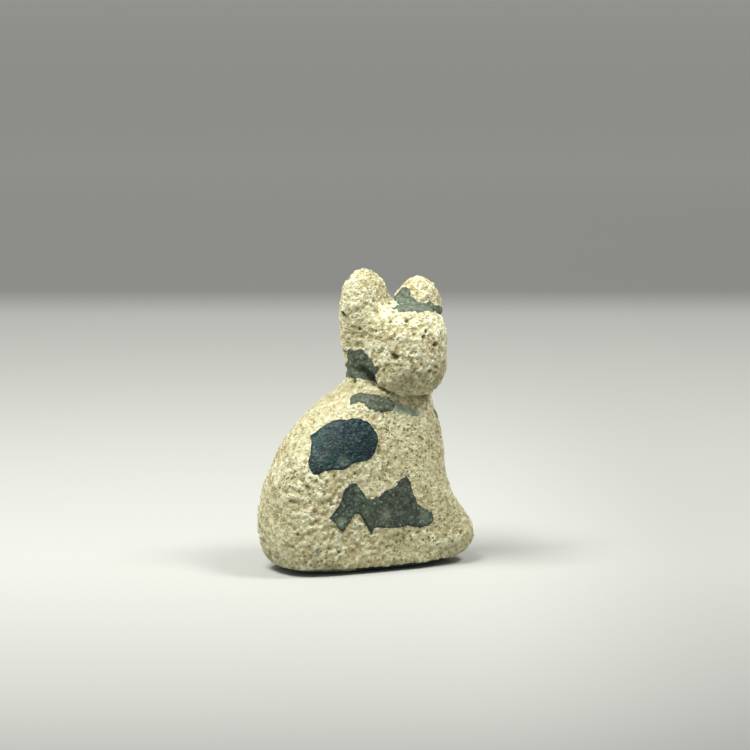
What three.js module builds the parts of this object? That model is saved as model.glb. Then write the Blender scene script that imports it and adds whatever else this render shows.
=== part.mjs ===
// A small seated cat, an amulet of glazed quartz paste: one solid that stands on its flat underside.
// Millimetres, +Z up, +X towards the forefeet, +Y to the cat's left. The head is turned to its right, along -Y.
// The skin is a box grid drawn in towards a spine until it lies on a form of softly joined lumps.

import * as THREE from 'three';
import { mergeVertices } from 'three/addons/utils/BufferGeometryUtils.js';

// Driving dimensions
const height = 15; // underside to the tip of the near ear
const undersideRounding = 0.8; // how softly the underside turns up into the sides
const gridSquares = [30, 15, 42]; // squares along the length, width and height of the box grid
const eveningRounds = 8; // rounds that space the grid's points evenly over the skin

// Lumps of the torso, in percent of the height: centre and half sizes forwards, left and up.
// A squareness over 2 makes a lump's outline, seen from the side, squarer.
const trunk = { at: [-8.6, 0, 23.2], half: [26.4, 26.4, 31.4] };
const rump = { at: [-13.3, 0, 12.4], half: [20.1, 26.4, 16.9] };
const chest = { at: [6, 0, 34.4], half: [19.1, 23.8, 27.7], squareness: 2.7 };
const forefeet = { at: [19.3, 0, 9.5], half: [16.9, 30.4, 10.1] };
const sole = { at: [2.6, 0, 2], half: [24.4, 30.4, 10.6] };
const flanks = { at: [0, 0, 21.1], half: [105.6, 16.5, 72.6] }; // keeps the two sides nearly flat
const neck = { at: [9.3, 0, 64.8], half: [16.1, 9.6, 17.3] };

// The head's own directions are to its right, out of its face and up, from its centre.
const headCentre = [10.3, 1.3, 74.3];
const headTurn = 80; // degrees to the cat's right, from straight ahead
const skull = { at: [0, 0, 0], half: [16.7, 12.5, 10.9], squareness: 2.4 };
const face = { at: [0.6, 11.1, -2], half: [12.3, 10.9, 14.8], squareness: 2.9 };
const rightEar = { at: [10.2, -1.5, 8.8], half: [10.3, 6.6, 17.1], lean: 6.7 };
const leftEar = { at: [-12.6, -3.2, 9.8], half: [9.1, 6.6, 11.3], lean: -2.7 };

// How softly the lumps run into each other, in percent of the height
const torsoBlend = 15.8;
const forefeetBlend = 17.2;
const soleBlend = 5.3;
const flankBlend = 9.9;
const earBlend = 5.9;
const faceBlend = 6.6;
const napeBlend = 3.3; // head into neck, a crease under the chin
const collarBlend = 4; // neck into shoulders

// The box grid stands around the cat, narrower at the head, and each of its points looks in at the spine.
const boxFoot = { middle: -1, half: 37 };
const boxTop = { middle: 10.5, half: 23 };
const boxHalfWidth = 20;
const spineLow = [-2, 0, 22];
const spineHigh = [10.5, -3, 74];
const spineHighFrom = 75; // the height on the box from which points look at the spine's high end

const share = height / 100;
const turn = THREE.MathUtils.degToRad(headTurn);
const faceWay = new THREE.Vector3(Math.cos(turn), -Math.sin(turn), 0);
const rightWay = new THREE.Vector3(-Math.sin(turn), -Math.cos(turn), 0);
const inHead = new THREE.Vector3();
const inLump = new THREE.Vector3();

// The point as the head has it: to its right, out of its face and up.
function toHead(point) {
  const x = point.x - headCentre[0] * share;
  const y = point.y - headCentre[1] * share;
  const z = point.z - headCentre[2] * share;
  return inHead.set(x * rightWay.x + y * rightWay.y, x * faceWay.x + y * faceWay.y, z);
}

// Nearly how far a point lies outside a lump, less than nothing inside it.
function outside(point, lump) {
  const power = lump.squareness ?? 2;
  const lean = THREE.MathUtils.degToRad(lump.lean ?? 0);
  const [a, b, c] = lump.half.map((half) => half * share);
  inLump.set(point.x - lump.at[0] * share, point.y - lump.at[1] * share, point.z - lump.at[2] * share);
  const sideways = inLump.x * Math.cos(lean) - inLump.z * Math.sin(lean);
  const upwards = inLump.x * Math.sin(lean) + inLump.z * Math.cos(lean);
  const u = Math.abs(sideways / a) + 1e-9;
  const v = inLump.y / b;
  const w = Math.abs(upwards / c) + 1e-9;
  const ring = (u ** power + w ** power) ** (1 / power);
  const reach = Math.hypot(ring, v);
  const fall = ring ** (2 - power);
  const steepness = Math.hypot((u ** (power - 1) * fall) / a, v / b, (w ** (power - 1) * fall) / c);
  return ((reach - 1) * reach) / steepness;
}

// The smaller of two distances, rounded over where they are within the blend of each other.
function join(first, second, blend) {
  const mix = THREE.MathUtils.clamp(0.5 + (0.5 * (second - first)) / blend, 0, 1);
  return second * (1 - mix) + first * mix - blend * mix * (1 - mix);
}

// The larger of two distances, rounded in the same way.
function trim(first, second, blend) {
  return -join(-first, -second, blend);
}

// Nearly how far a point lies outside the whole cat.
function outsideCat(point) {
  let torso = join(outside(point, trunk), outside(point, rump), torsoBlend * share);
  torso = join(torso, outside(point, chest), torsoBlend * share);
  torso = join(torso, outside(point, forefeet), forefeetBlend * share);
  torso = join(torso, outside(point, sole), soleBlend * share);
  torso = trim(torso, outside(point, flanks), flankBlend * share);
  const own = toHead(point);
  let head = join(outside(own, skull), outside(own, rightEar), earBlend * share);
  head = join(head, outside(own, leftEar), earBlend * share);
  head = join(head, outside(own, face), faceBlend * share);
  const upper = join(head, outside(point, neck), napeBlend * share);
  const cat = join(torso, upper, collarBlend * share);
  return trim(cat, -point.z, undersideRounding);
}

// Draws a point of the box grid in to the skin: out from the spine, halving the stretch that holds the crossing.
function drawIn(corner) {
  const middle = THREE.MathUtils.lerp(boxFoot.middle, boxTop.middle, corner.z / height);
  const half = THREE.MathUtils.lerp(boxFoot.half, boxTop.half, corner.z / height);
  corner.x = (middle + corner.x * half) * share;
  const along = THREE.MathUtils.smoothstep(corner.z, 0, spineHighFrom * share);
  const start = new THREE.Vector3().fromArray(spineLow).lerp(new THREE.Vector3().fromArray(spineHigh), along);
  start.multiplyScalar(share);
  const direction = corner.clone().sub(start).normalize();
  const probe = new THREE.Vector3();
  const step = height / 60;
  let near = 0;
  let far = step;
  while (outsideCat(probe.copy(start).addScaledVector(direction, far)) < 0) {
    near = far;
    far += step;
  }
  for (let round = 0; round < 30; round++) {
    const halfway = (near + far) / 2;
    if (outsideCat(probe.copy(start).addScaledVector(direction, halfway)) < 0) near = halfway;
    else far = halfway;
  }
  return probe;
}

// Slides a point straight in or out until it lies on the skin.
function settle(point, rounds) {
  const gap = height / 3000;
  const slope = new THREE.Vector3();
  for (let round = 0; round < rounds; round++) {
    const here = outsideCat(point);
    for (const axis of ['x', 'y', 'z']) {
      const beside = point.clone();
      beside[axis] += gap;
      slope[axis] = (outsideCat(beside) - here) / gap;
    }
    point.addScaledVector(slope, -here / slope.lengthSq());
  }
  return point;
}

// Moves every point towards the middle of its neighbours and back onto the skin, a few rounds over.
function spaceEvenly(points, triangles) {
  const neighbours = points.map(() => new Set());
  for (let corner = 0; corner < triangles.length; corner++) {
    const next = corner % 3 === 2 ? corner - 2 : corner + 1;
    neighbours[triangles[corner]].add(triangles[next]);
    neighbours[triangles[next]].add(triangles[corner]);
  }
  let spaced = points;
  for (let round = 0; round < eveningRounds; round++) {
    spaced = spaced.map((point, index) => {
      const middle = new THREE.Vector3();
      for (const other of neighbours[index]) middle.add(spaced[other]);
      middle.divideScalar(neighbours[index].size);
      return settle(point.clone().lerp(middle, 0.6), 1);
    });
  }
  return spaced.map((point) => settle(point, 5));
}

function catGeometry() {
  const box = new THREE.BoxGeometry(2, 2 * boxHalfWidth * share, height, ...gridSquares);
  box.translate(0, 0, height / 2);
  box.deleteAttribute('normal');
  box.deleteAttribute('uv');
  const geometry = mergeVertices(box);
  const position = geometry.attributes.position;
  const drawn = [];
  for (let index = 0; index < position.count; index++) {
    drawn.push(drawIn(new THREE.Vector3().fromBufferAttribute(position, index)));
  }
  const spaced = spaceEvenly(drawn, geometry.index.array);
  const flatWithin = height / 10000;
  for (let index = 0; index < position.count; index++) {
    const point = spaced[index];
    if (Math.abs(point.z) < flatWithin) point.z = 0;
    position.setXYZ(index, point.x, point.y, point.z);
  }
  geometry.computeVertexNormals();
  return geometry;
}

const amulet = new THREE.Group();
const paste = new THREE.MeshStandardMaterial({ color: new THREE.Color(0.71, 0.68, 0.53), roughness: 0.85 });
const cat = new THREE.Mesh(catGeometry(), paste);
cat.name = 'cat_figure';
amulet.add(cat);

export default amulet;
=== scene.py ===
import itertools
import math

import bpy
import numpy as np
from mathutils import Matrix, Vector


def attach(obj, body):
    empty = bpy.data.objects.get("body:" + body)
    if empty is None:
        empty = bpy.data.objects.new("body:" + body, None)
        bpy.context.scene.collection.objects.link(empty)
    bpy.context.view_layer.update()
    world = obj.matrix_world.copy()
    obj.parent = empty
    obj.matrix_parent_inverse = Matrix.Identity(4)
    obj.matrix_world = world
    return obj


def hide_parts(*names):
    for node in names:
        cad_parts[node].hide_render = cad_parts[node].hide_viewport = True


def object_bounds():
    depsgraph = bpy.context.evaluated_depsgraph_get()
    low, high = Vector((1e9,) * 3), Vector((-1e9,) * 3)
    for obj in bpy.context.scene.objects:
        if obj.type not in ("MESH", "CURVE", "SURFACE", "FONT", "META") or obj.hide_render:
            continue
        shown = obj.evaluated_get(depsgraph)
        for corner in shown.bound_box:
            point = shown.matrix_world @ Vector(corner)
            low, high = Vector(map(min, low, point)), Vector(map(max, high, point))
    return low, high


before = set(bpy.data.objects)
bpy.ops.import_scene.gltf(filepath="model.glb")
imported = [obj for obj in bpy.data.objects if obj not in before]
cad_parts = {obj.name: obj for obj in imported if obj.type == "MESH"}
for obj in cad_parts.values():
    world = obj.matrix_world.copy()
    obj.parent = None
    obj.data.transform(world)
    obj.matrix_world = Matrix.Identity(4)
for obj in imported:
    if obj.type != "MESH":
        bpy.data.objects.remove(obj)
cadLow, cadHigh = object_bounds()
mm = 0.001  # shapes are worked out in millimetres and put into the mesh in metres
height = (cadHigh.z - cadLow.z) / mm
share = height / 100  # one percent of the height
print("frame loaded, height", round(height, 2), "mm")

# The photograph's view. The middle of the underside shows at basePixel.
view = {
    "side": 750,  # pixels along each side of the picture
    "basePixel": (367.5, 564),
    "turned": 26.5,  # degrees away from a square side view, so that the rump is nearer
    "lookDown": 11,  # degrees, onto the middle of the underside
    "distance": 178.2,  # mm from there to the camera
    "focalPixels": 3528,
    "sensor": 36,  # mm
    "clip": (10, 10000),  # mm
}


# The camera's directions and place: the ray through basePixel meets the middle of the underside.
def cameraAxes():
    centre = view["side"] / 2
    across = (view["basePixel"][0] - centre) / view["focalPixels"]
    down = (view["basePixel"][1] - centre) / view["focalPixels"]
    pitch = math.radians(view["lookDown"]) - math.atan(down)
    turn = math.radians(view["turned"])
    level = np.array([math.sin(turn), math.cos(turn), 0])
    right = np.array([math.cos(turn), -math.sin(turn), 0])
    forward = level * math.cos(pitch) - np.array([0, 0, math.sin(pitch)])
    up = level * math.sin(pitch) + np.array([0, 0, math.cos(pitch)])
    ray = forward + right * across - up * down
    eye = -ray / np.linalg.norm(ray) * view["distance"]
    return eye, right, forward, up, pitch, level


eye, viewRight, viewForward, viewUp, pitch, level = cameraAxes()
pixelsPerMm = view["focalPixels"] / view["distance"]


# Where points of the object show in the photograph, in its pixels.
def toPicture(points):
    offset = points - eye
    scale = view["focalPixels"] / (offset @ viewForward)
    centre = view["side"] / 2
    return np.stack([centre + offset @ viewRight * scale, centre - offset @ viewUp * scale], -1)


# The same for points of the skin, and endlessly far off where the skin faces away.
def seenPlaces(points, normals):
    facing = (normals * (eye - points)).sum(1) > 0
    return np.where(facing[:, None], toPicture(points), np.inf)


# Distance from what shows at a pixel, measured in the picture and counted in mm.
def apartFrom(pixel, places):
    return np.linalg.norm(places - np.array(pixel), axis=1) / pixelsPerMm


def placeCamera():
    lens = view["focalPixels"] / view["side"] * view["sensor"]
    data = bpy.data.cameras.new("camera")
    data.lens = lens
    data.sensor_width = view["sensor"]
    data.clip_start, data.clip_end = (end * mm for end in view["clip"])
    camera = bpy.data.objects.new("camera", data)
    camera.location = eye * mm
    camera.rotation_euler = (math.pi / 2 - pitch, 0, -math.radians(view["turned"]))
    bpy.context.scene.collection.objects.link(camera)
    bpy.context.scene.camera = camera


placeCamera()
print("camera placed")

# The form, as in the solid: lumps in percent of the height, centre and half sizes forwards, left and up.
# The blend is how softly a lump runs into those before it.
torso = {
    "trunk": {"at": (-8.6, 0, 23.2), "half": (26.4, 26.4, 31.4)},
    "rump": {"at": (-13.3, 0, 12.4), "half": (20.1, 26.4, 16.9), "blend": 15.8},
    "chest": {"at": (6, 0, 34.4), "half": (19.1, 23.8, 27.7), "blend": 15.8, "squareness": 2.7},
    "forefeet": {"at": (19.3, 0, 9.5), "half": (16.9, 30.4, 10.1), "blend": 17.2},
    "sole": {"at": (2.6, 0, 2), "half": (24.4, 30.4, 10.6), "blend": 5.3},
}
# The flanks keep the two sides nearly flat.
flanks = {"at": (0, 0, 21.1), "half": (105.6, 16.5, 72.6), "blend": 9.9}
neck = {"at": (9.3, 0, 64.8), "half": (16.1, 9.6, 17.3), "blend": 3.3}
# The head's lumps are given to its right, out of its face and up, from its own centre.
head = {
    "skull": {"at": (0, 0, 0), "half": (16.7, 12.5, 10.9), "squareness": 2.4},
    "rightEar": {"at": (10.2, -1.5, 8.8), "half": (10.3, 6.6, 17.1), "blend": 5.9, "lean": 6.7},
    "leftEar": {"at": (-12.6, -3.2, 9.8), "half": (9.1, 6.6, 11.3), "blend": 5.9, "lean": -2.7},
    "face": {"at": (0.6, 11.1, -2), "half": (12.3, 10.9, 14.8), "blend": 6.6, "squareness": 2.9},
}
pose = {"headCentre": (10.3, 1.3, 74.3), "headTurn": 80, "collarBlend": 4, "undersideRounding": 0.8}


# Nearly how far points lie outside a lump: (reach - 1) * reach / steepness, where reach is 1 on its skin.
def outsideLump(points, lump):
    power = lump.get("squareness", 2)
    lean = math.radians(lump.get("lean", 0))
    half = np.array(lump["half"]) * share
    offset = points - np.array(lump["at"]) * share
    sideways = offset[:, 0] * math.cos(lean) - offset[:, 2] * math.sin(lean)
    upwards = offset[:, 0] * math.sin(lean) + offset[:, 2] * math.cos(lean)
    u = np.abs(sideways / half[0]) + 1e-9
    v = offset[:, 1] / half[1]
    w = np.abs(upwards / half[2]) + 1e-9
    ring = (u**power + w**power) ** (1 / power)
    reach = np.sqrt(ring**2 + v**2)
    fall = ring ** (2 - power)
    slopes = (u ** (power - 1) * fall / half[0], v / half[1], w ** (power - 1) * fall / half[2])
    return (reach - 1) * reach / np.sqrt(sum(slope**2 for slope in slopes))


# The smaller of two distances, rounded over where they are within the blend of each other.
def joinSoft(first, second, blend):
    mix = np.clip(0.5 + 0.5 * (second - first) / blend, 0, 1)
    return second * (1 - mix) + first * mix - blend * mix * (1 - mix)


# Joins a group of lumps one after the other.
def joinLumps(points, lumps):
    whole = None
    for lump in lumps.values():
        own = outsideLump(points, lump)
        whole = own if whole is None else joinSoft(whole, own, lump["blend"] * share)
    return whole


# Points as the head has them: to its right, out of its face and up.
def toHead(points):
    turn = math.radians(pose["headTurn"])
    offset = points - np.array(pose["headCentre"]) * share
    right = -offset[:, 0] * math.sin(turn) - offset[:, 1] * math.cos(turn)
    out = offset[:, 0] * math.cos(turn) - offset[:, 1] * math.sin(turn)
    return np.stack([right, out, offset[:, 2]], -1)


# Nearly how far points lie outside the whole cat, cut off level at the underside.
def outsideCat(points):
    body = joinLumps(points, torso)
    body = -joinSoft(-body, -outsideLump(points, flanks), flanks["blend"] * share)
    upper = joinSoft(joinLumps(toHead(points), head), outsideLump(points, neck), neck["blend"] * share)
    cat = joinSoft(body, upper, pose["collarBlend"] * share)
    return -joinSoft(-cat, points[:, 2], pose["undersideRounding"])


# The slope of the form's distance, by small steps along each axis.
def slopeOf(points, here):
    gap = height / 3000
    return np.stack([(outsideCat(points + gap * axis) - here) / gap for axis in np.eye(3)], -1)


# Slides points straight in or out until they lie on the skin.
def settle(points, rounds):
    for _ in range(rounds):
        here = outsideCat(points)
        slope = slopeOf(points, here)
        points = points - slope * (here / (slope**2).sum(1))[:, None]
    return points


# The skin's grid is a box around the cat, narrower at the head, whose points are drawn in towards a spine.
skin = {
    "squares": (27, 13, 39),  # of the first, wide grid, along its length, width and height
    "finer": 5,  # fine squares along each wide one
    "boxFoot": (-1, 37),  # middle and half length at the foot of the box, in percent of the height
    "boxTop": (10.5, 23),
    "boxHalfWidth": 20,
    "spineLow": (-2, 0, 22),
    "spineHigh": (10.5, -3, 74),
    "spineHighFrom": 75,
    "strides": 60,  # in the height, to find the stretch that holds the crossing
    "halvings": 24,  # of that stretch
    "wideRounds": 10,  # rounds that space the points evenly
    "fineRounds": 4,
    "pull": 0.6,  # how far each round moves a point to the middle of its neighbours
}


# The surface points of a box of unit squares and the four corners of each square, counted outwards.
def boxGrid(squares):
    corners = []
    for axis, far in itertools.product(range(3), (0, 1)):
        first, second = (axis + 1) % 3, (axis + 2) % 3
        steps = ((0, 0), (1, 0), (1, 1), (0, 1)) if far else ((0, 0), (0, 1), (1, 1), (1, 0))
        across, along = np.meshgrid(np.arange(squares[first]), np.arange(squares[second]), indexing="ij")
        square = np.zeros((across.size, 4, 3), int)
        for corner, (stepFirst, stepSecond) in enumerate(steps):
            square[:, corner, first] = across.ravel() + stepFirst
            square[:, corner, second] = along.ravel() + stepSecond
        square[:, :, axis] = squares[axis] * far
        corners.append(square)
    corners = np.concatenate(corners)
    places, quads = np.unique(corners.reshape(-1, 3), axis=0, return_inverse=True)
    return places, quads.reshape(-1, 4)


# Smooth step from 0 to 1 between two edges.
def ease(values, low, high):
    t = np.clip((values - low) / (high - low), 0, 1)
    return t * t * (3 - 2 * t)


# Draws the box grid in: each point goes out from the spine and halves the stretch that holds the crossing.
def drawIn(places, squares):
    unit = places / np.array(squares)
    middle = skin["boxFoot"][0] + (skin["boxTop"][0] - skin["boxFoot"][0]) * unit[:, 2]
    half = skin["boxFoot"][1] + (skin["boxTop"][1] - skin["boxFoot"][1]) * unit[:, 2]
    box = np.stack([
        middle + (unit[:, 0] * 2 - 1) * half,
        (unit[:, 1] * 2 - 1) * skin["boxHalfWidth"],
        unit[:, 2] * 100,
    ], -1) * share
    along = ease(box[:, 2], 0, skin["spineHighFrom"] * share)[:, None]
    start = (np.array(skin["spineLow"]) * (1 - along) + np.array(skin["spineHigh"]) * along) * share
    direction = box - start
    direction /= np.linalg.norm(direction, axis=1, keepdims=True)
    near = np.zeros(len(box))
    inside = np.ones(len(box), bool)
    step = height / skin["strides"]
    while inside.any():
        reached = outsideCat(start + direction * (near + step)[:, None]) < 0
        inside &= reached
        near[inside] += step
    far = near + step
    for _ in range(skin["halvings"]):
        halfway = (near + far) / 2
        within = outsideCat(start + direction * halfway[:, None]) < 0
        near = np.where(within, halfway, near)
        far = np.where(within, far, halfway)
    return start + direction * near[:, None]


# Moves every point towards the middle of its neighbours along the squares' edges, and back onto the skin.
# The neighbours' places are added up for each point and divided by their number.
def spaceEvenly(points, quads, rounds):
    ends = np.concatenate([quads, np.roll(quads, -1, axis=1)])
    others = np.concatenate([np.roll(quads, -1, axis=1), quads])
    count = np.bincount(ends.ravel(), minlength=len(points))
    for _ in range(rounds):
        middle = np.stack([
            np.bincount(ends.ravel(), points[others.ravel(), axis], len(points)) / count for axis in range(3)
        ], -1)
        points = settle(points * (1 - skin["pull"]) + middle * skin["pull"], rounds=1)
    return settle(points, rounds=3)


# The fine grid's points, from the wide grid's by mixing the eight lattice points around each by nearness.
def refine(places, wide, widePlaces, squares):
    lattice = np.zeros(tuple(np.array(squares) + 2) + (3,))
    lattice[tuple(widePlaces.T)] = wide
    low = places // skin["finer"]
    part = places / skin["finer"] - low
    mixed = np.zeros((len(places), 3))
    for corner in itertools.product((0, 1), repeat=3):
        weight = np.where(np.array(corner), part, 1 - part).prod(1)
        mixed += lattice[tuple((low + corner).T)] * weight[:, None]
    return mixed


def makeSkin():
    widePlaces, wideQuads = boxGrid(skin["squares"])
    wide = spaceEvenly(drawIn(widePlaces, skin["squares"]), wideQuads, skin["wideRounds"])
    fineSquares = tuple(count * skin["finer"] for count in skin["squares"])
    places, quads = boxGrid(fineSquares)
    points = settle(refine(places, wide, widePlaces, skin["squares"]), rounds=4)
    points = spaceEvenly(points, quads, skin["fineRounds"])
    normals = slopeOf(points, outsideCat(points))
    normals /= np.linalg.norm(normals, axis=1, keepdims=True)
    return points, normals, quads


skinPoints, skinNormals, skinQuads = makeSkin()
print("skin drawn in,", len(skinPoints), "points,", 2 * len(skinQuads), "triangles")


# Large odd numbers and shifts that scatter the draws of neighbouring cells.
scatter = {
    "axes": (73856093, 19349663, 83492791),
    "seed": 2654435761,
    "rounds": ((13, 1274126177), (15, 668265263)),
    "dropped": 7,  # lowest bits, which repeat too soon
}
largestDraw = 0x7FFFFFFF


# A number from 0 to 1 for each whole-number cell, mixed from its three counts and a seed.
def cellDraw(cells, seed):
    mixed = np.int64(seed * scatter["seed"])
    for axis, factor in enumerate(scatter["axes"]):
        mixed = cells[..., axis] * factor ^ mixed
    for shift, factor in scatter["rounds"]:
        mixed = (mixed ^ (mixed >> shift)) * factor & largestDraw
    return (mixed >> scatter["dropped"]) / float(largestDraw >> scatter["dropped"])


# Smooth noise from -1 to 1: each cell corner's draw, mixed by nearness with an S-shaped weight.
def softNoise(points, size, seed):
    cells = np.floor(points / size).astype(np.int64)
    part = points / size - cells
    part = part * part * (3 - 2 * part)
    total = np.zeros(len(points))
    for corner in itertools.product((0, 1), repeat=3):
        weight = np.where(np.array(corner), part, 1 - part).prod(1)
        total += weight * cellDraw(cells + corner, seed)
    return total * 2 - 1


# Noises of several sizes and heights, added up.
def manyNoises(points, steps, seed):
    return sum(tall * softNoise(points, size, seed + index) for index, (size, tall) in enumerate(steps))


noHole = 1e-6  # mm, the radius in a cell without a hole


# Round holes scattered in space, at most one in each cell. Inside one, the depth is
# radius * (1 - (distance / radius)^2). Where holes overlap, the deepest counts.
def poreDepth(points, pores):
    cells = np.floor(points / pores["cell"]).astype(np.int64)
    depth = np.zeros(len(points))
    for offset in itertools.product((-1, 0, 1), repeat=3):
        cell = cells + offset
        place = np.stack([cellDraw(cell, pores["seed"] + axis) for axis in range(3)], -1)
        draw = cellDraw(cell, pores["seed"] + 3) / pores["share"]
        radius = np.where(draw < 1, pores["small"] + (pores["large"] - pores["small"]) * draw**2, noHole)
        distance = ((points - (cell + place) * pores["cell"]) ** 2).sum(1)
        depth = np.maximum(depth, radius * np.clip(1 - distance / radius**2, 0, 1))
    return depth


# How far picture places lie inside an outline, in pixels, less than nothing outside it. A place is inside
# where the line to its right crosses the outline an odd number of times.
def insideOutline(places, outline):
    corners = np.array(outline, float)
    edge = np.roll(corners, -1, axis=0) - corners
    offset = places[:, None, :] - corners
    part = np.clip((offset * edge).sum(2) / (edge**2).sum(1), 0, 1)
    nearest = np.sqrt(((offset - part[..., None] * edge) ** 2).sum(2)).min(1)
    above = offset[..., 1] < 0
    crosses = above != np.roll(above, -1, axis=1)
    ahead = offset[..., 0] < edge[:, 0] / np.where(edge[:, 1] == 0, 1e-9, edge[:, 1]) * offset[..., 1]
    inside = (crosses & ahead).sum(1) % 2 == 1
    return np.where(inside, nearest, -nearest)


# Remains of glaze that the photograph shows, as outlines in its pixels. worn is 0 where the glaze is thick
# and glossy and 1 where it is thin and dull. green is the share of pale green in it.
seenGlaze = {
    "haunch": {"worn": 0, "green": 0, "outline": [
        (309, 437), (317, 431), (323, 426), (332, 420), (340, 419), (347, 420), (352, 418), (358, 418),
        (366, 421), (373, 427), (378, 435), (379, 442), (376, 451), (372, 458), (365, 462), (359, 463),
        (353, 464), (347, 468), (340, 470), (333, 471), (323, 472), (318, 475), (314, 475), (310, 469),
        (308, 464), (309, 456), (311, 448), (311, 441)]},
    "side": {"worn": 0.6, "green": 0, "outline": [
        (328, 518), (335, 510), (339, 506), (342, 498), (345, 489), (349, 484), (356, 483), (360, 489),
        (364, 494), (367, 498), (372, 499), (378, 498), (382, 494), (388, 489), (395, 487), (399, 481),
        (407, 473), (410, 481), (414, 493), (419, 504), (426, 508), (432, 513), (433, 520), (429, 526),
        (420, 529), (413, 526), (407, 526), (397, 529), (387, 529), (379, 527), (374, 528), (372, 535),
        (368, 529), (364, 520), (360, 516), (356, 514), (353, 519), (349, 524), (344, 532), (339, 529),
        (335, 524)]},
    "shoulder": {"worn": 0.85, "green": 0.14, "outline": [
        (350, 397), (361, 392), (375, 395), (388, 396), (396, 403), (394, 411), (388, 411), (375, 413),
        (367, 406), (358, 402), (351, 405)]},
    # Pale green glaze. Its green above 1 also paints the highlight that lies on it.
    "shoulderEnd": {"worn": 1, "green": 1.3, "outline": [
        (393, 401), (400, 404), (410, 407), (420, 412), (418, 417), (404, 415), (393, 412)]},
    "neck": {"worn": 0.95, "green": 0.14, "outline": [
        (343, 350), (354, 349), (362, 349), (368, 356), (374, 362), (378, 368), (377, 378), (378, 387),
        (374, 382), (363, 378), (356, 379), (343, 376), (345, 368), (347, 359)]},
    "farEar": {"worn": 0.75, "green": 0.25, "outline": [
        (391, 309), (397, 304), (393, 297), (398, 291), (406, 287), (410, 290), (409, 296), (417, 301),
        (421, 303), (426, 303), (429, 296), (434, 303), (446, 308), (446, 317), (436, 313), (428, 311),
        (420, 312), (409, 312), (401, 313)]},
    "footSpeck": {"worn": 1, "green": 1, "outline": [(315, 549), (319, 549), (320, 555), (316, 556)]},
    "nearEar": {"worn": 0.8, "green": 0, "outline": [
        (341, 310), (344, 311), (347, 314), (349, 318), (347, 320), (343, 317)]},
    "chest": {"worn": 0.5, "green": 0.3, "outline": [
        (432, 408), (437, 411), (441, 419), (443, 425), (436, 417)]},
}
# Plainer remains on the hidden sides: centre and radius in mm, and a stretch along each axis.
hiddenGlaze = {
    "leftHaunch": {"at": (-2.6, 2.6, 4.6), "radius": 1.15, "stretch": (1.5, 1, 0.9), "worn": 0.15},
    "leftSide": {"at": (1.7, 2.6, 2.4), "radius": 0.8, "stretch": (1.8, 1, 0.8), "worn": 0.6},
    "leftShoulder": {"at": (1.6, 2, 7.6), "radius": 0.5, "stretch": (2.4, 1, 0.7), "worn": 0.8},
    "nape": {"at": (-0.6, 0.6, 9.6), "radius": 0.95, "stretch": (1, 1.3, 0.8), "worn": 0.7},
    "leftNeck": {"at": (2.6, 1.4, 9.3), "radius": 0.6, "stretch": (1.6, 1, 0.7), "worn": 0.7},
    "chestFront": {"at": (3.9, 0.6, 6.2), "radius": 0.6, "stretch": (1, 1, 1.5), "worn": 0.6},
}
hiddenLook = {"green": 0.12, "ragged": ((0.8, 0.35),)}
# Dark glaze on the edge that turns under, which also paints the shade in the gap under that edge: up to this
# height, where the skin faces down by more than this. The skin steps back there.
underGlazeAndShade = {
    "upTo": 0.34, "downFacing": 0.12, "worn": 0.1, "ragged": ((1.4, 0.06),), "step": 0.07, "stepWidth": 0.1,
}
# How squarely the skin faces the camera, from 1 to -1, where seen remains end and hidden ones begin.
turning = {"seenFrom": 0.12, "seenTo": -0.4, "seenLast": -0.35, "hiddenFrom": 0.05, "hiddenTo": -0.35}
farOff = 9  # mm, further than any remain reaches


# How far each point lies inside the nearest remain of glaze, in mm, how worn and how green that remain is,
# and how far the point lies inside the edge that turns under. A remain is an outline in the picture or a
# stretched and ragged ball, and the depth in it is the distance to its edge.
def glazeAt(points, normals):
    places = toPicture(points)
    away = eye - points
    facing = (normals * away).sum(1) / np.linalg.norm(away, axis=1)
    remains = []
    for patch in seenGlaze.values():
        own = insideOutline(places, patch["outline"]) / pixelsPerMm
        own -= ease(-facing, -turning["seenFrom"], -turning["seenTo"])
        own = np.where(facing > turning["seenLast"], own, -farOff)
        remains.append((own, patch["worn"], patch["green"]))
    ragged = manyNoises(points, hiddenLook["ragged"], seed=51)
    for patch in hiddenGlaze.values():
        offset = (points - np.array(patch["at"])) / np.array(patch["stretch"])
        own = patch["radius"] - np.linalg.norm(offset, axis=1) + ragged
        own -= ease(facing, turning["hiddenTo"], turning["hiddenFrom"])
        remains.append((own, patch["worn"], hiddenLook["green"]))
    depth = np.full(len(points), -farOff, float)
    worn = np.zeros(len(points))
    green = np.full(len(points), hiddenLook["green"])
    for own, ownWorn, ownGreen in remains:
        worn = np.where(own > depth, ownWorn, worn)
        green = np.where(own > depth, ownGreen, green)
        depth = np.maximum(depth, own)
    # The edge that turns under gets the darkest glaze, which also paints the shade under it.
    ragged = manyNoises(points, underGlazeAndShade["ragged"], seed=52)
    under = np.minimum(underGlazeAndShade["upTo"] - points[:, 2], -normals[:, 2] - underGlazeAndShade["downFacing"]) + ragged
    worn = np.where(under > depth, underGlazeAndShade["worn"], worn)
    return np.maximum(depth, under), worn, green, under


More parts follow.
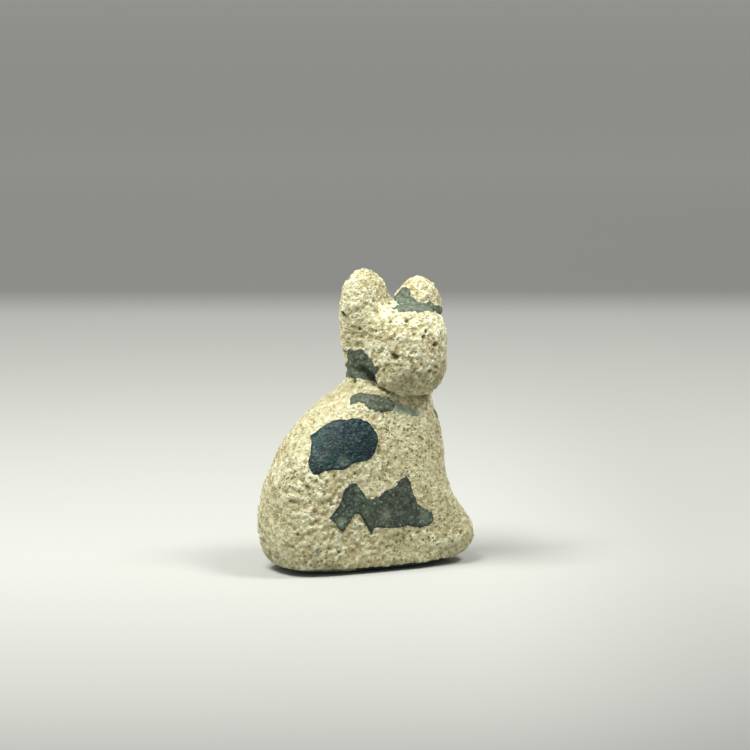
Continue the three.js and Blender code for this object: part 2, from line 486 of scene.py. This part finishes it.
# Relief in mm. The paste is grainy and porous, the lower rump more broken, and glaze lies a little proud.
relief = {
    "lumps": ((2.4, 0.05), (1.1, 0.035)),  # size and height
    "grains": ((0.42, 0.012), (0.25, 0.028), (0.16, 0.052)),
    "crease": {
        "depth": 0.42, "width": 0.13, "lower": 0.12,
        "from": 7.6, "fullBy": 8.2, "to": 10.2, "toByFace": 11.6, "fade": 0.8,
        "faceFrom": 0.3, "faceBy": 0.9,  # out of the head's middle, where its end rises
    },
    "places": (  # where the paste is rougher or calmer: place, reach, and how much
        ((-4.2, -1.6, 4.2), 3, 0.75),
        ((-4, 1.6, 3), 3.4, 0.5),
        ((1.6, -1, 12.2), 4, 0.6),
        ((1.8, -2.6, 5.2), 3.6, -0.45),
        ((1.8, 2.6, 4.4), 3.6, -0.4),
        ((1.2, -2.8, 1.2), 2.6, -0.35),
    ),
    "glazeThickness": 0.05,
    "glazeEdge": 0.08,
    "edgeNoise": ((0.2, 0.07), (0.45, 0.07)),
    "edgeNoiseOfThick": 0.4,  # the share of that noise at the edge of thick glaze
    "glazeCalm": 0.65,
    "poresLostInGlaze": 0.85,
    "creasePaintedShade": 0.09,  # painted shade in the crease, as dark as a pore this deep
}
poreSizes = {
    "wide": {"cell": 0.62, "small": 0.08, "large": 0.16, "share": 0.4, "seed": 11},
    "narrow": {"cell": 0.3, "small": 0.05, "large": 0.09, "share": 0.6, "seed": 21},
}
# Pits in the face and on the side that stand out in the photograph: pixel, radius and depth in mm.
seenPits = (
    ((395.6, 357.4), 0.22, 0.3),
    ((392.5, 354.5), 0.14, 0.16),
    ((435.8, 344.5), 0.18, 0.2),
    ((430, 371.3), 0.14, 0.22),
    ((436.7, 367.6), 0.11, 0.14),
    ((425.7, 331.5), 0.13, 0.2),
    ((423.3, 336.8), 0.13, 0.15),
    ((406.9, 320.8), 0.17, 0.16),
    ((390.3, 321.4), 0.1, 0.12),
    ((375.5, 331), 0.1, 0.1),
    ((332, 505), 0.1, 0.1),
    ((302, 481), 0.13, 0.1),
)

# Painted shade and some soil on the paste: darker on the body than on the head, as the light from above
# leaves it, and varying at random.
shadeAndSoilAmount = {"body": 0.2, "bodyTo": 8.6, "headFrom": 10.4, "varies": ((2.6, 0.16),)}
# Where the paste is darker, mostly painted shade: in the hollow between the near ear and the face, under the
# chin and on the shoulder below it, low on the haunch and the forefeet, and along the bottom. Each has a
# pixel, a reach in mm and how much.
shadeAndSoilSpots = (
    ((365, 330), 1.4, 0.75),
    ((405, 380), 1.5, 0.55),
    ((285, 500), 2.4, 0.45),
    ((325, 405), 1.4, 0.2),
    ((458, 525), 1.8, 0.55),
    ((400, 548), 2.4, 0.3),
    ((350, 388), 0.8, 0.4),
    ((440, 375), 0.9, 0.3),
)
# How many of the fine pores show, and where more and darker ones show in the photograph.
pepperAmount = {"everywhere": 0.5, "varies": ((2.2, 0.25),)}
peppered = (
    ((400, 445), 3.6, 0.75),
    ((425, 545), 3, 0.5),
    ((398, 545), 1.6, 0.3),
    ((335, 480), 2, 0.5),
    ((285, 485), 1.8, 0.4),
    ((330, 552), 2.6, 0.5),
    ((425, 375), 1.3, 0.3),
    ((325, 415), 1.6, 0.3),
)
# Where remains of glaze are nearly black. The first and third spots, on the neck's glaze beside the face, are
# painted shadow.
blackerAndShaded = (
    ((375, 378), 0.6, 1),
    ((413, 306), 0.5, 0.35),
    ((376, 366), 0.3, 0.7),
    ((365, 447), 0.8, 0.6),
    ((347, 447), 0.8, 0.6),
    ((320, 465), 0.8, 0.8),
    ((344, 421), 0.5, 0.5),
    ((352, 505), 0.5, 0.4),
    ((400, 500), 0.7, 0.35),
    ((396, 524), 0.6, 0.4),
)
# Where remains of glaze are greener and lighter than the rest of their patch.
greener = (
    ((341, 523), 0.4, 0.8),
    ((425, 517), 0.5, 0.6),
    ((375, 495), 0.4, 0.3),
    ((330, 438), 1, 0.1),
    ((344, 461), 0.35, 0.5),
    ((322, 454), 0.8, 0.1),
    ((424, 509), 0.4, 0.4),
    ((386, 515), 0.5, 0.3),
)


# Adds up spots: each gives its amount at the skin point seen at its pixel and eases off around it.
def spotsAt(points, places, spots):
    total = np.zeros(len(points))
    for pixel, reach, much in spots:
        centre = points[np.argmin(apartFrom(pixel, places))]
        total += much * (1 - ease(np.linalg.norm(points - centre, axis=1), 0, reach))
    return total


# Reddish spots seen in the photograph: pixel and radius in mm.
rustSpots = (((314, 510), 0.16), ((333, 535), 0.13), ((318, 513), 0.1), ((428, 492), 0.08))
rustEdge = {"from": 0.5, "to": 1.1}  # of the radius


# 1 on the reddish spots, easing off at their edges.
def rustAt(places):
    edges = (rustEdge["from"], rustEdge["to"])
    spots = [1 - ease(apartFrom(pixel, places) / radius, *edges) for pixel, radius in rustSpots]
    return np.max(spots, axis=0)


# Depth of the pits seen in the photograph, each a bowl: depth * (1 - (distance / radius)^2)^2 in the picture.
def seenPitDepth(places):
    bowls = []
    for pixel, radius, depth in seenPits:
        part = (apartFrom(pixel, places) / radius) ** 2
        bowls.append(depth * np.clip(1 - part, 0, 1) ** 2)
    return np.max(bowls, axis=0)


# Depth of the crease under the chin: depth * exp(-(gap / width)^2), where gap is the distance to the head
# less the distance to the body. It ends higher beside the face than at the nape.
def creaseDepth(points):
    crease = relief["crease"]
    ownPoints = toHead(points)
    below = np.minimum(joinLumps(points, torso), outsideLump(points, neck))
    gap = joinLumps(ownPoints, head) - below - crease["lower"]
    byFace = ease(ownPoints[:, 1], crease["faceFrom"], crease["faceBy"])
    top = crease["to"] + (crease["toByFace"] - crease["to"]) * byFace
    band = ease(points[:, 2], crease["from"], crease["fullBy"]) * ease(top - points[:, 2], 0, crease["fade"])
    return crease["depth"] * np.exp(-((gap / crease["width"]) ** 2)) * band


# Moves the skin in and out along its normals, and gives each point the values that its colours read.
def addRelief(points, normals):
    places = seenPlaces(points, normals)
    glazeDepth, worn, green, under = glazeAt(points, normals)
    ofThick = relief["edgeNoiseOfThick"]
    glazeDepth += manyNoises(points, relief["edgeNoise"], seed=61) * (ofThick + (1 - ofThick) * worn)
    glazed = ease(glazeDepth, 0, relief["glazeEdge"])
    rough = np.ones(len(points))
    for place, reach, much in relief["places"]:
        rough += much * (1 - ease(np.linalg.norm(points - np.array(place), axis=1), 0, reach))
    calm = 1 - relief["glazeCalm"] * glazed
    lumps = manyNoises(points, relief["lumps"], seed=31)
    grain = manyNoises(points, relief["grains"], seed=41) * rough * calm
    thick = glazed * (1 - worn / 2)  # worn glaze is half as thick
    pores = np.maximum(poreDepth(points, poreSizes["wide"]), poreDepth(points, poreSizes["narrow"]))
    pores = np.maximum(pores * (1 - relief["poresLostInGlaze"] * thick), seenPitDepth(places))
    crease = creaseDepth(points)
    lift = lumps * calm + grain - pores * rough - crease
    lift += relief["glazeThickness"] * thick
    lift -= (underGlazeAndShade["step"] + relief["glazeThickness"]) * ease(under, 0, underGlazeAndShade["stepWidth"])
    # Painted shade in the crease under the chin: it is darkened like a pore.
    creased = crease / relief["crease"]["depth"]
    pores = np.maximum(pores, relief["creasePaintedShade"] * creased**4)
    moved = points + normals * lift[:, None]
    moved[:, 2] = np.maximum(moved[:, 2], 0)
    # Painted shade: the body darker than the head, with random variation on top.
    towardsHead = ease(points[:, 2], shadeAndSoilAmount["bodyTo"], shadeAndSoilAmount["headFrom"])
    shadeAndSoil = shadeAndSoilAmount["body"] * (1 - towardsHead) + manyNoises(points, shadeAndSoilAmount["varies"], seed=71)
    pepper = pepperAmount["everywhere"] + manyNoises(points, pepperAmount["varies"], seed=72)
    looks = {
        "glazeDepth": glazeDepth,
        "glazeWorn": worn,
        "glazeGreen": green + spotsAt(points, places, greener),
        # The pores' depth, which also carries the painted shade of the crease.
        "poreDepth": pores,
        "grainHeight": grain,
        "shadeAndSoil": np.clip(shadeAndSoil + spotsAt(points, places, shadeAndSoilSpots), 0, 1),
        "peppered": np.clip(pepper + spotsAt(points, places, peppered), 0, 1),
        "blackerAndShaded": np.clip(spotsAt(points, places, blackerAndShaded), 0, 1),
        "rust": rustAt(places),
    }
    return moved, looks


surface, looks = addRelief(skinPoints, skinNormals)
print("relief added")


def setValues(mesh, name, values):
    attribute = mesh.attributes.new(name, "FLOAT", "POINT")
    attribute.data.foreach_set("value", values.astype(np.float32))


def makeCat():
    mesh = bpy.data.meshes.new("cat_amulet")
    mesh.from_pydata(surface * mm, [], skinQuads)
    for name, values in looks.items():
        setValues(mesh, name, values)
    mesh.shade_smooth()
    cat = bpy.data.objects.new("cat_amulet", mesh)
    bpy.context.scene.collection.objects.link(cat)
    return cat


cat = makeCat()
print("cat made")


# Short ways to write a material's nodes.
def newMaterial(name):
    material = bpy.data.materials.new(name)
    material.use_nodes = True
    nodes = material.node_tree.nodes
    return material, material.node_tree, nodes["Principled BSDF"]


# Sets a socket from a number or colour, or links another node's output to it.
def feed(tree, socket, source):
    if isinstance(source, bpy.types.NodeSocket):
        tree.links.new(source, socket)
    else:
        socket.default_value = source


def calculate(tree, operation, *values):
    node = tree.nodes.new("ShaderNodeMath")
    node.operation = operation
    for socket, value in zip(node.inputs, values):
        feed(tree, socket, value)
    return node.outputs[0]


# 0 below low, 1 above high, smooth between.
def between(tree, value, low, high):
    node = tree.nodes.new("ShaderNodeMapRange")
    node.interpolation_type = "SMOOTHSTEP"
    feed(tree, node.inputs["Value"], value)
    node.inputs["From Min"].default_value = low
    node.inputs["From Max"].default_value = high
    return node.outputs["Result"]


def mixColours(tree, part, first, second):
    node = tree.nodes.new("ShaderNodeMix")
    node.data_type = "RGBA"
    feed(tree, node.inputs[0], part)
    feed(tree, node.inputs[6], first)
    feed(tree, node.inputs[7], second)
    return node.outputs[2]


# A look is a dictionary: how many per mm, a noise's detail and roughness, the range over which the mark comes
# in from 0 to 1, its share, and for scattered cells the range of draws that come in.
def noise(tree, place, look, output=0):
    node = tree.nodes.new("ShaderNodeTexNoise")
    tree.links.new(place, node.inputs["Vector"])
    node.inputs["Scale"].default_value = look["perMm"]
    node.inputs["Detail"].default_value = look.get("detail", 2)
    node.inputs["Roughness"].default_value = look.get("roughness", 0.5)
    return node.outputs[output]


def cells(tree, place, look):
    node = tree.nodes.new("ShaderNodeTexVoronoi")
    tree.links.new(place, node.inputs["Vector"])
    node.inputs["Scale"].default_value = look["perMm"]
    return node.outputs["Distance"], node.outputs["Color"]


# How strongly a mark shows, from a value on the surface.
def mark(tree, value, look):
    shown = between(tree, value, *look["range"])
    return calculate(tree, "MULTIPLY", shown, look["share"]) if "share" in look else shown


def noiseMark(tree, place, look):
    return mark(tree, noise(tree, place, look), look)


def cellMark(tree, place, look):
    distance, draw = cells(tree, place, look)
    return calculate(tree, "MULTIPLY", mark(tree, distance, look), between(tree, draw, *look["drawn"]))


def attribute(tree, name):
    node = tree.nodes.new("ShaderNodeAttribute")
    node.attribute_name = name
    return node.outputs["Fac"]


# The object's own coordinates, counted in millimetres.
def placeInMm(tree):
    coordinates = tree.nodes.new("ShaderNodeTexCoord")
    mapping = tree.nodes.new("ShaderNodeMapping")
    mapping.inputs["Scale"].default_value = (1 / mm,) * 3
    tree.links.new(coordinates.outputs["Object"], mapping.inputs["Vector"])
    return mapping.outputs["Vector"]


# A colour given as the photograph's 0 to 255 values, for the shader.
def shade(red, green, blue):
    values = [value / 255 for value in (red, green, blue)]
    curve = (value / 12.92 if value <= 0.04045 else ((value + 0.055) / 1.055) ** 2.4 for value in values)
    return tuple(curve) + (1,)


paste = {
    "light": shade(216, 211, 169),
    "warm": shade(204, 194, 151),
    # paleAndHighlight: the colour of pale grains and of the painted highlight on the grain's crests.
    "paleAndHighlight": shade(229, 229, 196),
    # brownAndShade: the colour of brown stains and of the painted shade in the grain's dips.
    "brownAndShade": shade(138, 124, 78),
    "pore": shade(102, 82, 42),
    "rust": shade(132, 84, 56),
    # shadeAndSoil: the colour of painted shade with some soil.
    "shadeAndSoil": shade(158, 154, 116),
    "roughness": 0.88,
    "specular": 0.24,
}
glaze = {
    "navy": shade(0, 24, 44),
    "teal": shade(19, 54, 51),
    "worn": shade(102, 110, 87),
    "dark": shade(15, 27, 24),
    "fleck": shade(130, 146, 126),
    "streak": shade(102, 134, 124),
    "rim": shade(12, 34, 44),
    # blackAndShadow: nearly black glaze, and the painted shadow on the neck beside the face.
    "blackAndShadow": shade(4, 18, 26),
    # Pale green glaze, made lighter so that it also paints the highlight on the shoulder's end.
    "green": shade(150, 164, 136),
    "glossy": 0.3,
    "dull": 0.6,
}


# Where the paste's marks come in: on noise, on cells, or on the grain's height and the pores' depth in mm.
pasteMarks = {
    "areas": {"perMm": 0.45, "detail": 3, "range": (0.35, 0.65)},
    # The painted highlight on the crests and the painted shade in the dips, by the grain's height in mm.
    "highlightedCrests": {"range": (0, 0.04)},
    "shadedDips": {"range": (0, -0.045), "share": 0.6},
    "stains": {"perMm": 7, "detail": 5, "roughness": 0.85, "range": (0.49, 0.62), "share": 0.5},
    "grains": {"perMm": 8, "detail": 4, "roughness": 0.85, "range": (0.52, 0.66), "share": 0.6},
    "specks": {"perMm": 0.7, "range": (0.07, 0.04), "share": 0.7},
    "holes": {"range": (0.01, 0.09), "share": 0.6},
}
# Round holes at cell middles, narrower or wider, more of them in crowds.
finePoreMarks = {
    "wide": {"perMm": 3.9, "range": (0.36, 0.16), "drawn": (0.44, 0.47)},
    "narrow": {"perMm": 6.4, "range": (0.38, 0.2), "drawn": (0.5, 0.53)},
    "crowds": {"perMm": 1.3, "range": (0.25, 0.5)},
    "bend": {"perMm": 6, "by": 0.16},  # mm, so that the holes aren't round
    "share": 0.78,
}
# Where the glaze's marks come in: on noise, on cells, or on the depth inside its outline in mm.
glazeMarks = {
    "mottle": {"perMm": 1.5, "detail": 5, "roughness": 0.75, "range": (0.43, 0.57)},
    "streaks": {"perMm": 1, "detail": 5, "roughness": 0.7, "range": (0.07, 0), "share": 0.45},
    "streaky": {"perMm": 0.7, "range": (0.36, 0.6)},
    "blots": {"perMm": 3.4, "detail": 5, "roughness": 0.85, "range": (0.47, 0.54)},
    "rim": {"range": (0.18, 0.03)},
    "gaps": {"perMm": 5, "range": (0.35, 0.65)},
    "flecks": {"perMm": 5, "range": (0.42, 0.12), "drawn": (0.4, 0.7)},
    "clouds": {"perMm": 2.6, "detail": 3, "range": (0.4, 0.55)},
    "lost": {"perMm": 5, "detail": 4, "roughness": 0.7, "range": (0.6, 0.7), "share": 0.4},
    "edge": {"perMm": 7, "detail": 3, "by": 0.1},
    "covered": {"range": (-0.01, 0.03)},
}
# The share of a mark on thick glaze, and how much that grows where the glaze is fully worn.
glazeShares = {"blots": (0.35, 0.3), "rim": (1, -0.5), "gaps": (0.1, 0.45), "flecks": (0.25, 0.55)}
blackShare = 0.7
cloudShares = (0.4, 0.55)  # of the pale green: the least, and how much clouds add
# Bumps too fine for the mesh
bumps = {
    "tall": 0.085,  # mm
    "calmInGlaze": 0.35,
    "grain": {"perMm": 7, "detail": 5, "roughness": 0.9},
    "gaps": {"perMm": 6, "range": (0.3, 0.7), "share": 0.5},
}


# Bare paste: light and warm areas, painted shade with some soil, a painted highlight on the grain's crests
# and painted shade in its dips, dark pores and a few rust specks.
def pasteColour(tree, place):
    areas = noiseMark(tree, place, pasteMarks["areas"])
    colour = mixColours(tree, areas, paste["warm"], paste["light"])
    # Painted shade with some soil darkens the paste, and the painted highlight on the crests fades there.
    shadeAndSoil = attribute(tree, "shadeAndSoil")
    colour = mixColours(tree, shadeAndSoil, colour, paste["shadeAndSoil"])
    grainHeight = attribute(tree, "grainHeight")
    undarkened = calculate(tree, "SUBTRACT", 1.0, shadeAndSoil)
    # Painted highlight on the grain's crests and painted shade in its dips.
    highlightedCrests = calculate(tree, "MULTIPLY", mark(tree, grainHeight, pasteMarks["highlightedCrests"]), undarkened)
    colour = mixColours(tree, highlightedCrests, colour, paste["paleAndHighlight"])
    colour = mixColours(tree, mark(tree, grainHeight, pasteMarks["shadedDips"]), colour, paste["brownAndShade"])
    colour = mixColours(tree, noiseMark(tree, place, pasteMarks["stains"]), colour, paste["brownAndShade"])
    colour = mixColours(tree, noiseMark(tree, place, pasteMarks["grains"]), colour, paste["paleAndHighlight"])
    specks = mark(tree, cells(tree, place, pasteMarks["specks"])[0], pasteMarks["specks"])
    rust = calculate(tree, "MULTIPLY", attribute(tree, "rust"), pasteMarks["specks"]["share"])
    colour = mixColours(tree, calculate(tree, "MAXIMUM", specks, rust), colour, paste["rust"])
    # The holes also carry the painted shade in the crease under the chin.
    holes = mark(tree, attribute(tree, "poreDepth"), pasteMarks["holes"])
    return mixColours(tree, holes, colour, paste["pore"])


# Fine pores that the mesh is too coarse for: 1 in the hole. Only some cells hold one.
def finePores(tree, place):
    bend = finePoreMarks["bend"]
    bent = tree.nodes.new("ShaderNodeVectorMath")
    bent.operation = "MULTIPLY_ADD"
    feed(tree, bent.inputs[0], noise(tree, place, bend, output="Color"))
    bent.inputs[1].default_value = (bend["by"],) * 3
    feed(tree, bent.inputs[2], place)
    place = bent.outputs["Vector"]
    wide = cellMark(tree, place, finePoreMarks["wide"])
    narrow = cellMark(tree, place, finePoreMarks["narrow"])
    crowds = noiseMark(tree, place, finePoreMarks["crowds"])
    shown = calculate(tree, "MULTIPLY", crowds, attribute(tree, "peppered"))
    return calculate(tree, "MULTIPLY", calculate(tree, "MAXIMUM", wide, narrow), shown)


# Mixes a colour in where a mark is, by the mark's share for how worn the glaze is.
def mixByWear(tree, shown, name, worn, colour, second):
    share, more = glazeShares[name]
    shown = calculate(tree, "MULTIPLY", shown, calculate(tree, "MULTIPLY_ADD", worn, more, share))
    return mixColours(tree, shown, colour, second)


# Glaze: navy and teal where it is thick, greyer where it is worn, with pale flecks. The streaks follow a
# contour of the noise, where it is near its middle.
def glazeColour(tree, place, worn, depth):
    mottle = noiseMark(tree, place, glazeMarks["mottle"])
    colour = mixColours(tree, mottle, glaze["navy"], glaze["teal"])
    fromMiddle = calculate(tree, "SUBTRACT", noise(tree, place, glazeMarks["streaks"]), 0.5)
    streaks = mark(tree, calculate(tree, "ABSOLUTE", fromMiddle), glazeMarks["streaks"])
    streaks = calculate(tree, "MULTIPLY", streaks, noiseMark(tree, place, glazeMarks["streaky"]))
    colour = mixColours(tree, streaks, colour, glaze["streak"])
    colour = mixColours(tree, worn, colour, glaze["worn"])
    blots = noiseMark(tree, place, glazeMarks["blots"])
    colour = mixByWear(tree, blots, "blots", worn, colour, glaze["dark"])
    # Nearly black glaze, and painted shadow on the neck's glaze beside the face.
    blackerAndShaded = calculate(tree, "MULTIPLY", attribute(tree, "blackerAndShaded"), blackShare)
    colour = mixColours(tree, blackerAndShaded, colour, glaze["blackAndShadow"])
    rim = mark(tree, depth, glazeMarks["rim"])
    colour = mixByWear(tree, rim, "rim", worn, colour, glaze["rim"])
    gaps = mark(tree, cells(tree, place, glazeMarks["gaps"])[0], glazeMarks["gaps"])
    colour = mixByWear(tree, gaps, "gaps", worn, colour, glaze["dark"])
    flecks = cellMark(tree, place, glazeMarks["flecks"])
    colour = mixByWear(tree, flecks, "flecks", worn, colour, glaze["fleck"])
    least, more = cloudShares
    clouds = calculate(tree, "MULTIPLY_ADD", noiseMark(tree, place, glazeMarks["clouds"]), more, least)
    green = calculate(tree, "MULTIPLY", attribute(tree, "glazeGreen"), clouds)
    return mixColours(tree, green, colour, glaze["green"])


# Where glaze covers the paste, from its depth: worn glaze is lost in spots.
def glazeCover(tree, place, worn, depth):
    lost = calculate(tree, "MULTIPLY", noiseMark(tree, place, glazeMarks["lost"]), worn)
    kept = calculate(tree, "SUBTRACT", 1.0, lost)
    return calculate(tree, "MULTIPLY", mark(tree, depth, glazeMarks["covered"]), kept)


# Fine grain with gaps between its cells, less the fine pores. It is calmer in glaze.
def fineBump(tree, place, covered, holes):
    bump = tree.nodes.new("ShaderNodeBump")
    bump.inputs["Distance"].default_value = bumps["tall"] * mm
    calm = calculate(tree, "MULTIPLY_ADD", covered, -bumps["calmInGlaze"], 1.0)
    feed(tree, bump.inputs["Strength"], calm)
    gaps = mark(tree, cells(tree, place, bumps["gaps"])[0], bumps["gaps"])
    grain = calculate(tree, "SUBTRACT", noise(tree, place, bumps["grain"]), gaps)
    feed(tree, bump.inputs["Height"], calculate(tree, "SUBTRACT", grain, holes))
    return bump.outputs["Normal"]


def glazedPaste():
    material, tree, shader = newMaterial("glazed_paste")
    place = placeInMm(tree)
    worn = attribute(tree, "glazeWorn")
    edge = glazeMarks["edge"]
    ragged = calculate(tree, "MULTIPLY_ADD", noise(tree, place, edge), edge["by"], -edge["by"] / 2)
    depth = calculate(tree, "ADD", attribute(tree, "glazeDepth"), ragged)
    covered = glazeCover(tree, place, worn, depth)
    holes = finePores(tree, place)
    shownHoles = calculate(tree, "MULTIPLY", holes, finePoreMarks["share"])
    bare = mixColours(tree, shownHoles, pasteColour(tree, place), paste["pore"])
    colour = mixColours(tree, covered, bare, glazeColour(tree, place, worn, depth))
    feed(tree, shader.inputs["Base Color"], colour)
    dullness = calculate(tree, "MULTIPLY_ADD", worn, glaze["dull"] - glaze["glossy"], glaze["glossy"])
    roughness = tree.nodes.new("ShaderNodeMix")
    feed(tree, roughness.inputs[0], covered)
    roughness.inputs[2].default_value = paste["roughness"]
    feed(tree, roughness.inputs[3], dullness)
    feed(tree, shader.inputs["Roughness"], roughness.outputs[0])
    shader.inputs["Specular IOR Level"].default_value = paste["specular"]
    feed(tree, shader.inputs["Normal"], fineBump(tree, place, covered, holes))
    return material


cat.data.materials.append(glazedPaste())
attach(cat, "root")
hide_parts("cat_figure")
print("materials made")

# The stage: a pale table that turns grey past its far edge, under a long soft lamp with a white sky around.
stage = {
    "halfSide": 3000,
    "roughness": 0.9,
    "tint": (1, 1.005, 0.965),
    # mm to the right and behind, and the share of light lost there
    "rightDim": {"from": 4, "to": 18, "behind": 90, "by": 0.2},
    # how light the table is painted, 0 to 255, at distances in mm behind the middle of the cat: painted light
    # and shade, darker in front of the cat and lighter behind it against the lamp's falloff, and grey past
    # the table's far edge
    "paintedLightStops": (
        (-50, 108), (-30, 141), (0, 168), (35, 174), (104, 179),
        (121, 139), (160, 153), (250, 175), (900, 191)),
}
lights = {
    "sky": 0.52,
    "lamps": {
        "main": {"right": -44, "behind": -38, "up": 118, "long": 70, "wide": 34, "power": 0.243},
        "second": {"right": 56, "behind": -12, "up": 96, "long": 30, "wide": 24, "power": 0.085},
    },
}


# How far a place lies along a direction, in mm.
def alongWay(tree, way):
    node = tree.nodes.new("ShaderNodeVectorMath")
    node.operation = "DOT_PRODUCT"
    feed(tree, node.inputs[0], placeInMm(tree))
    node.inputs[1].default_value = tuple(way)
    return node.outputs["Value"]


def makeFloor():
    half = stage["halfSide"] * mm
    corners = [(-half, -half, 0), (half, -half, 0), (half, half, 0), (-half, half, 0)]
    mesh = bpy.data.meshes.new("floor")
    mesh.from_pydata(corners, [], [(0, 1, 2, 3)])
    material, tree, shader = newMaterial("table")
    behind = alongWay(tree, level)
    first, last = stage["paintedLightStops"][0][0], stage["paintedLightStops"][-1][0]
    along = tree.nodes.new("ShaderNodeMapRange")
    feed(tree, along.inputs["Value"], behind)
    along.inputs["From Min"].default_value = first
    along.inputs["From Max"].default_value = last
    # Painted light and shade on the table, by distance behind the cat.
    ramp = tree.nodes.new("ShaderNodeValToRGB")
    ramp.color_ramp.interpolation = "LINEAR"
    tree.links.new(along.outputs["Result"], ramp.inputs[0])
    while len(ramp.color_ramp.elements) < len(stage["paintedLightStops"]):
        ramp.color_ramp.elements.new(0.5)
    for element, (distance, light) in zip(ramp.color_ramp.elements, stage["paintedLightStops"]):
        element.position = (distance - first) / (last - first)
        element.color = shade(*(light * tint for tint in stage["tint"]))
    dim = stage["rightDim"]
    dimmed = between(tree, alongWay(tree, viewRight), dim["from"], dim["to"])
    dimmed = calculate(tree, "MULTIPLY", dimmed, between(tree, behind, dim["behind"], 0))
    dimmed = calculate(tree, "MULTIPLY", dimmed, dim["by"])
    feed(tree, shader.inputs["Base Color"], mixColours(tree, dimmed, ramp.outputs["Color"], (0, 0, 0, 1)))
    shader.inputs["Roughness"].default_value = stage["roughness"]
    mesh.materials.append(material)
    floor = bpy.data.objects.new("floor", mesh)
    bpy.context.scene.collection.objects.link(floor)


def makeLights():
    world = bpy.data.worlds.new("sky")
    bpy.context.scene.world = world
    world.use_nodes = True
    background = world.node_tree.nodes["Background"]
    background.inputs["Color"].default_value = (1, 1, 1, 1)
    background.inputs["Strength"].default_value = lights["sky"]
    for name, lamp in lights["lamps"].items():
        data = bpy.data.lights.new(name, "AREA")
        data.shape = "RECTANGLE"
        data.size = lamp["long"] * mm
        data.size_y = lamp["wide"] * mm
        data.energy = lamp["power"]
        light = bpy.data.objects.new(name, data)
        place = viewRight * lamp["right"] + level * lamp["behind"] + np.array([0, 0, lamp["up"]])
        light.location = place * mm
        light.rotation_euler = Vector(place).to_track_quat("Z", "Y").to_euler()
        light.visible_camera = False
        bpy.context.scene.collection.objects.link(light)


makeFloor()
makeLights()
bpy.context.scene.view_settings.view_transform = "Standard"
print("stage and lights made")
